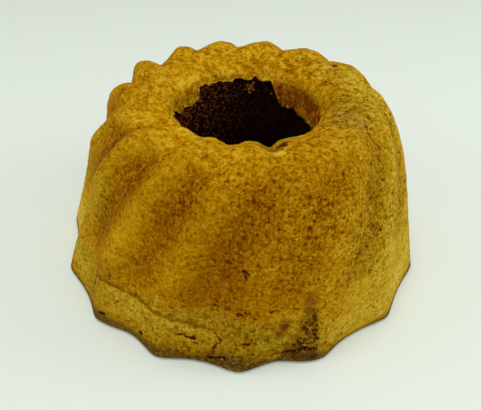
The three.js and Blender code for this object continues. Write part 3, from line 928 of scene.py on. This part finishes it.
# A mottled colour: weights of the noises that mottle it, the levels they run between, and its two tints
Mottle = namedtuple("Mottle", "weights levels dark light")
BURNT_MOTTLE = Mottle({"grains": 1, "fine": 1}, (-0.12, 0.16), BURNT_RED, BURNT)
STREAK_MOTTLE = Mottle({"grains": 1, "mottle": 1}, (-0.15, 0.2), STREAK_RED, STREAK)
FLAKE_MOTTLE = Mottle({"grains": 1, "fine": 1}, (-0.16, 0.16), FLAKE_RED, FLAKE_PALE)
TONGUE_WEIGHTS = {"mottle": 1, "patches": 1, "grains": 0.6}
TONGUE_MOTTLE = Mottle(TONGUE_WEIGHTS, (-0.12, 0.14), TONGUE_RED, TONGUE_GOLD)
LOOSE_MOTTLE = Mottle({"mottle": 1, "grains": 0.8}, (-0.2, 0.3), LOOSE_RED, LOOSE_PALE)
BASE_MOTTLE = Mottle({"mottle": 0.5, "grains": 0.5}, (-0.3, 0.3), BURNT, BASE_BROWN)
CRUMB_MOTTLE = Mottle({"grains": 1, "fine": 0.8, "mottle": 0.4}, (-0.04, 0.24), COCOA, COCOA_LIGHT)


# Materials; the sockets of a node that mixes colours have numbers
MIX_SHARE, MIX_A, MIX_B, MIX_RESULT = 0, 6, 7, 2


class NodeSheet:
    """Short calls for building a material's nodes, with named noises given as a size and a detail."""

    def __init__(self, name, noises=None):
        self.material = bpy.data.materials.new(name)
        self.material.use_nodes = True
        self.tree = self.material.node_tree
        self.tree.nodes.clear()
        self.where = self.add("ShaderNodeTexCoord").outputs["Object"]
        self.fields = {key: self.noise(*sizes) for key, sizes in (noises or {}).items()}

    def add(self, kind, values=None, **settings):
        node = self.tree.nodes.new(kind)
        for key, value in settings.items():
            setattr(node, key, value)
        for key, value in (values or {}).items():
            self.put(node.inputs[key], value)
        return node

    def put(self, socket, value):
        if isinstance(value, bpy.types.NodeSocket):
            self.tree.links.new(value, socket)
        else:
            socket.default_value = value

    def fact(self, name):
        return self.add("ShaderNodeAttribute", attribute_name=name).outputs["Fac"]

    def math(self, operation, a, b=0, clamp=False):
        return self.add("ShaderNodeMath", {0: a, 1: b}, operation=operation, use_clamp=clamp).outputs[0]

    def total(self, *terms):
        """The sum of terms that are values or pairs of a value and its weight."""
        result = None
        for term in terms:
            part = self.math("MULTIPLY", *term) if isinstance(term, tuple) else term
            result = part if result is None else self.math("ADD", result, part)
        return result

    def rough(self, weights, base=None):
        """The weighted sum of named fields, added to a base if there is one."""
        terms = [(self.fields[key], weight) for key, weight in weights.items()]
        return self.total(*terms) if base is None else self.total(base, *terms)

    def product(self, first, *others):
        for other in others:
            first = self.math("MULTIPLY", first, other)
        return first

    def highest(self, first, *others):
        for other in others:
            first = self.math("MAXIMUM", first, other)
        return first

    def ramp(self, value, low, high):
        """0 at low, 1 at high, smooth between."""
        node = self.add("ShaderNodeMapRange", {"Value": value, "From Min": low, "From Max": high},
                        interpolation_type="SMOOTHSTEP")
        return node.outputs["Result"]

    def mix(self, share, a, b):
        values = {MIX_SHARE: share, MIX_A: a, MIX_B: b}
        return self.add("ShaderNodeMix", values, data_type="RGBA").outputs[MIX_RESULT]

    def palette(self, tone, colours):
        """A colour between those of a palette."""
        last = len(colours) - 1
        node = self.add("ShaderNodeValToRGB", {"Fac": self.math("DIVIDE", tone, last * TONE_STEP)})
        elements = node.color_ramp.elements
        elements[0].color = colours[0]
        elements[1].color = colours[last]
        for index in range(1, last):
            elements.new(index / last).color = colours[index]
        return node.outputs["Color"]

    def noise(self, size, detail=0):
        """Noise about 0 with lumps of that size in millimetres."""
        values = {"Vector": self.where, "Scale": 1 / (size * MM), "Detail": detail}
        return self.math("SUBTRACT", self.add("ShaderNodeTexNoise", values).outputs["Fac"], 0.5)

    def cells(self, size):
        """Distance to the nearest of points scattered that far apart, and a random value for each."""
        node = self.add("ShaderNodeTexVoronoi", {"Vector": self.where, "Scale": 1 / (size * MM)})
        chance = self.add("ShaderNodeSeparateColor", {"Color": node.outputs["Color"]}).outputs[0]
        return node.outputs["Distance"], chance

    def vector(self, operation, a, b):
        """Vector arithmetic; b is the factor where a vector is scaled."""
        node = self.add("ShaderNodeVectorMath", {0: a}, operation=operation)
        self.put(node.inputs["Scale" if operation == "SCALE" else 1], b)
        return node.outputs["Value" if operation in ("DOT_PRODUCT", "DISTANCE") else "Vector"]

    def from_line(self, spot, start, end):
        """Distance over the wall from a line between two places, each an angle and a distance."""
        first = Vector((start[0] * MM_PER_DEGREE, start[1], 0))
        run = Vector((end[0] * MM_PER_DEGREE, end[1], 0)) - first
        offset = self.vector("SUBTRACT", spot, first)
        ahead = self.vector("DOT_PRODUCT", offset, run)
        share = self.math("MULTIPLY", ahead, 1 / run.length_squared, clamp=True)
        return self.vector("DISTANCE", offset, self.vector("SCALE", run, share))

    def bump(self, height, depth):
        """Normal of a surface whose heights run from 0 to 1 over that depth in millimetres."""
        values = {"Height": height, "Strength": 1, "Distance": depth * MM}
        return self.add("ShaderNodeBump", values).outputs[0]

    def finish(self, colour, roughness, specular, normal=None):
        values = {"Base Color": colour, "Roughness": roughness, "Specular IOR Level": specular}
        shader = self.add("ShaderNodeBsdfPrincipled", values)
        if normal is not None:
            self.put(shader.inputs["Normal"], normal)
        self.add("ShaderNodeOutputMaterial", {"Surface": shader.outputs[0]})
        return self.material


def wall_spot(s):
    """Where a point lies on the unrolled wall, a little wavered so that lines there aren't straight."""
    across_size, along_size = WAVER_SIZES
    across = s.total((s.fact("round"), MM_PER_DEGREE), (s.noise(across_size), WAVER))
    along = s.total(s.fact("distance"), (s.noise(along_size), WAVER))
    return s.add("ShaderNodeCombineXYZ", {0: across, 1: along}).outputs[0]


def mottled(s, look):
    """A colour that noises mottle between a dark and a light tint."""
    return s.mix(s.ramp(s.rough(look.weights), *look.levels), look.dark, look.light)


def cover(s, share, layer):
    """How much a layer covers where it has that share, with a border that noises roughen."""
    return s.product(s.ramp(s.rough(layer.weights, share), *layer.levels), layer.strength)


def dots(s, look, crowd):
    """Scattered dots of uneven shape, more of them where they crowd."""
    near, chance = s.cells(look.spacing)
    shape = s.ramp(s.rough(look.weights, near), look.reach, look.reach * DOT_CORE)
    return s.product(shape, s.ramp(s.total(chance, crowd), *DOT_CHANCE))


def line_share(s, spot, lines):
    """1 on soft streaks, 0 away from them."""
    return s.highest(*(s.ramp(s.from_line(spot, start, end), width * LINE_SOFT, 0)
                       for start, end, width in lines))


def mark_shares(s, spot, marks):
    """How dark each of some ragged marks makes a place."""
    for start, end, width, darkness in marks:
        ragged = s.rough(MARK_WEIGHTS, s.from_line(spot, start, end))
        yield s.product(s.ramp(ragged, width + MARK_SOFT, width * MARK_CORE), darkness)


def add_crust_fields(s):
    """Adds the crust's dots, winding lines and wrinkles to its plain noises."""
    brown = s.math("SUBTRACT", CRUST_TONE, s.fact("tone"))
    s.fields["pores"] = dots(s, PORES, s.total(brown, PORE_CROWD))
    s.fields["blots"] = dots(s, BLOTS, s.total((brown, BLOT_BROWN), (s.fact("olive"), BLOT_OLIVE)))
    s.fields["specks"] = dots(s, SPECKS, SPECK_CROWD)
    winding = s.ramp(s.math("ABSOLUTE", s.noise(*SQUIGGLE_NOISE)), SQUIGGLE_WIDTH, 0)
    gathered = s.ramp(s.total(s.noise(SQUIGGLE_PATCH), (brown, SQUIGGLE_BROWN)), *SQUIGGLE_LEVELS)
    s.fields["squiggles"] = s.product(winding, gathered)
    s.fields["wrinkles"] = s.product(s.fields["mottle"], s.total((s.fact("wrinkle"), WRINKLE_GAIN), 1))


def ledge_shade_and_light(s):
    """Shares of the painted shade in the crease at the ledge and of the painted light on the shelf below it.
    """
    above = s.fact("ledge")
    wavered = s.math("ABSOLUTE", s.rough(CREASE_WEIGHTS, above))
    crease_shade = s.product(s.ramp(wavered, *CREASE_WIDTH), s.fact("ledge_share"))
    shelf_light = s.product(s.ramp(above, *SHELF_BELOW), s.ramp(above, *SHELF_ABOVE), s.fact("ledge_share"))
    return crease_shade, shelf_light


def baked(s):
    """Colour of the crust by its browning and grain, greener in places, more golden where light is painted
    round the lip, with painted shade in the crease and painted light on the shelf.
    """
    crease_shade, shelf_light = ledge_shade_and_light(s)
    grainy = s.product(s.rough(TONE_WEIGHTS), s.fact("grainy"))
    # Painted shade in the crease and painted light on the shelf below it
    tone = s.total(s.fact("tone"), grainy, (crease_shade, CREASE_SHADE_TONE), (shelf_light, SHELF_LIGHT_TONE))
    greener = s.product(s.fact("olive"), s.total(s.fields["patches"], 1))
    olive = s.math("ADD", greener, s.product(s.noise(*HUE_NOISE), HUE_WEIGHT), clamp=True)
    colour = s.mix(olive, s.palette(tone, CRUST_TONES), s.palette(tone, BAND_TONES))
    # Painted light: lighter, more golden crust round the hole's lip
    colour = s.mix(s.fact("golden"), colour, s.palette(tone, LIT_GOLDEN_TONES))
    colour = s.mix(s.product(s.fact("shaded"), TONGUE_SHARE), colour, mottled(s, TONGUE_MOTTLE))
    # Painted shade in the crease, brown
    return s.mix(s.product(crease_shade, CREASE_SHADE_SHARE), colour, SHADE_BROWN)


def streaked(s, colour, spot):
    """That colour with the scorched edge of the base and the cocoa batter that shows."""
    colour = s.mix(cover(s, s.fact("burnt"), BURNT_LAYER), colour, mottled(s, BURNT_MOTTLE))
    smear = line_share(s, spot, SMEARS)
    smeared = cover(s, s.product(smear, SMEAR_WEIGHT), SMEAR_LAYER)
    colour = s.mix(s.product(smeared, s.ramp(smear, 0, SMEAR_REACH)), colour, STREAK_RED)
    streak = line_share(s, spot, STREAKS)
    dark = cover(s, s.product(streak, STREAK_WEIGHT), STREAK_LAYER)
    return s.mix(s.product(dark, s.ramp(streak, 0, STREAK_REACH)), colour, mottled(s, STREAK_MOTTLE))


def marked(s, colour, spot):
    """That colour with painted shade in slits, pits and the scooped lip, flakes, pale spots, and red-brown
    marks.
    """
    mark = s.highest(*mark_shares(s, spot, MARKS), cover(s, s.fact("pit"), PIT_LAYER))
    # Painted shade in the slits and pits, brown at their border and black in their middle
    colour = s.mix(s.ramp(mark, *MARK_BROWN), colour, SHADE_BROWN)
    colour = s.mix(s.ramp(mark, *MARK_BLACK), colour, SHADE_BLACK)
    colour = s.mix(cover(s, s.fact("flaky"), FLAKE_LAYER), colour, mottled(s, FLAKE_MOTTLE))
    colour = s.mix(cover(s, s.fact("pale"), PALE_LAYER), colour, CRUMB_PALE)
    # Painted shade over crumb colour where the lip is scooped
    colour = s.mix(cover(s, s.fact("gouge_shade"), GOUGE_SHADE_LAYER), colour, GOUGE_CRUMB_SHADE)
    return s.mix(s.highest(*mark_shares(s, spot, RED_MARKS)), colour, RED_BROWN)


def torn_below(s, colour):
    """That colour with pale flecks along the torn edge and cocoa crumb below it."""
    below = s.rough(TORN_WEIGHTS, s.fact("bare"))
    flecked = s.ramp(s.rough(FLECK_WEIGHTS), *FLECK_LEVELS)
    flecks = s.product(s.ramp(below, *FLECK_PLACE), flecked, FLECK_SHARE)
    colour = s.mix(flecks, colour, CRUMB_PALE)
    return s.mix(s.ramp(below, *COCOA_PLACE), colour, COCOA)


def crust_material():
    s = NodeSheet("crust", CRUST_NOISES)
    add_crust_fields(s)
    spot = wall_spot(s)
    colour = marked(s, streaked(s, baked(s), spot), spot)
    normal = s.bump(s.rough(HEIGHT_WEIGHTS), CRUST_BUMP)
    return s.finish(torn_below(s, colour), *CRUST_SURFACE, normal)


def crumb_material():
    s = NodeSheet("cocoa_crumb", CRUMB_NOISES)
    near, chance = s.cells(CRUMB_CELL)
    axes = s.add("ShaderNodeSeparateXYZ", {0: s.where}).outputs
    # Painted light: lighter specks high up and to the left, fewer lower down and to the right
    high = s.ramp(axes["Z"], *(height * MM for height in CRUMB_LIT_HEIGHTS))
    left = s.ramp(axes["X"], *(side * MM for side in CRUMB_LIT_SIDES))
    lit_high_share = s.total((high, CRUMB_LIT_HIGH), 1 - CRUMB_LIT_HIGH)
    lit_left_share = s.total((left, CRUMB_LIT_LEFT), 1 - CRUMB_LIT_LEFT)
    light = s.ramp(s.rough(CRUMB_MOTTLE.weights), *CRUMB_MOTTLE.levels)
    share = s.product(light, s.ramp(chance, *CRUMB_CHANCE), lit_high_share, lit_left_share)
    colour = s.mix(share, CRUMB_MOTTLE.dark, CRUMB_MOTTLE.light)
    normal = s.bump(s.total(s.fields["grains"], (near, CRUMB_DENT)), CRUMB_BUMP)
    return s.finish(colour, *CRUMB_SURFACE, normal)


def loose_material():
    s = NodeSheet("loose_crumb", LOOSE_NOISES)
    return s.finish(mottled(s, LOOSE_MOTTLE), *CRUMB_SURFACE)


def base_material():
    s = NodeSheet("base_crust", BASE_NOISES)
    return s.finish(mottled(s, BASE_MOTTLE), *BASE_SURFACE)


# Stage


def make_floor():
    low, high = -FLOOR_HALF, FLOOR_HALF
    mesh = bpy.data.meshes.new("floor")
    mesh.from_pydata([(low, low, 0), (high, low, 0), (high, high, 0), (low, high, 0)], [], [(0, 1, 2, 3)])
    mesh.materials.append(NodeSheet("pale_floor").finish(FLOOR, *FLOOR_SURFACE))
    floor = bpy.data.objects.new("floor", mesh)
    bpy.context.scene.collection.objects.link(floor)


def make_lights():
    world = bpy.data.worlds.new("studio")
    bpy.context.scene.world = world
    world.use_nodes = True
    background = world.node_tree.nodes["Background"]
    background.inputs["Color"].default_value = WORLD_COLOUR
    background.inputs["Strength"].default_value = WORLD_STRENGTH
    for name, location, size, energy in LAMPS:
        lamp = bpy.data.lights.new(name, "AREA")
        lamp.shape = "DISK"
        lamp.size = size
        lamp.energy = energy
        light = bpy.data.objects.new(name, lamp)
        light.location = location
        light.rotation_euler = (Vector(LAMP_AIM) - light.location).to_track_quat("-Z", "Y").to_euler()
        bpy.context.scene.collection.objects.link(light)


def make_camera(shift):
    elevation = math.radians(CAMERA_ELEVATION)
    back = Vector((0, -math.cos(elevation), math.sin(elevation)))
    camera = bpy.data.cameras.new("camera")
    camera.sensor_width = SENSOR
    camera.lens = FOCAL_PIXELS / IMAGE_WIDTH * SENSOR
    camera.clip_start = CLIP_START
    camera_object = bpy.data.objects.new("camera", camera)
    level = back.to_track_quat("Z", "Y").to_matrix()
    rolled = level @ Matrix.Rotation(CAMERA_ROLL, 3, "Z")
    eye = (Vector(CAMERA_TARGET) + Vector(shift) + back * CAMERA_DISTANCE) * MM
    camera_object.matrix_world = Matrix.Translation(eye) @ rolled.to_4x4()
    bpy.context.scene.collection.objects.link(camera_object)
    bpy.context.scene.camera = camera_object


cake_shift = make_crust()
make_crumb(cake_shift)
make_loose_crumbs(cake_shift)
make_floor()
make_lights()
make_camera(cake_shift)
bpy.context.scene.view_settings.view_transform = "Standard"
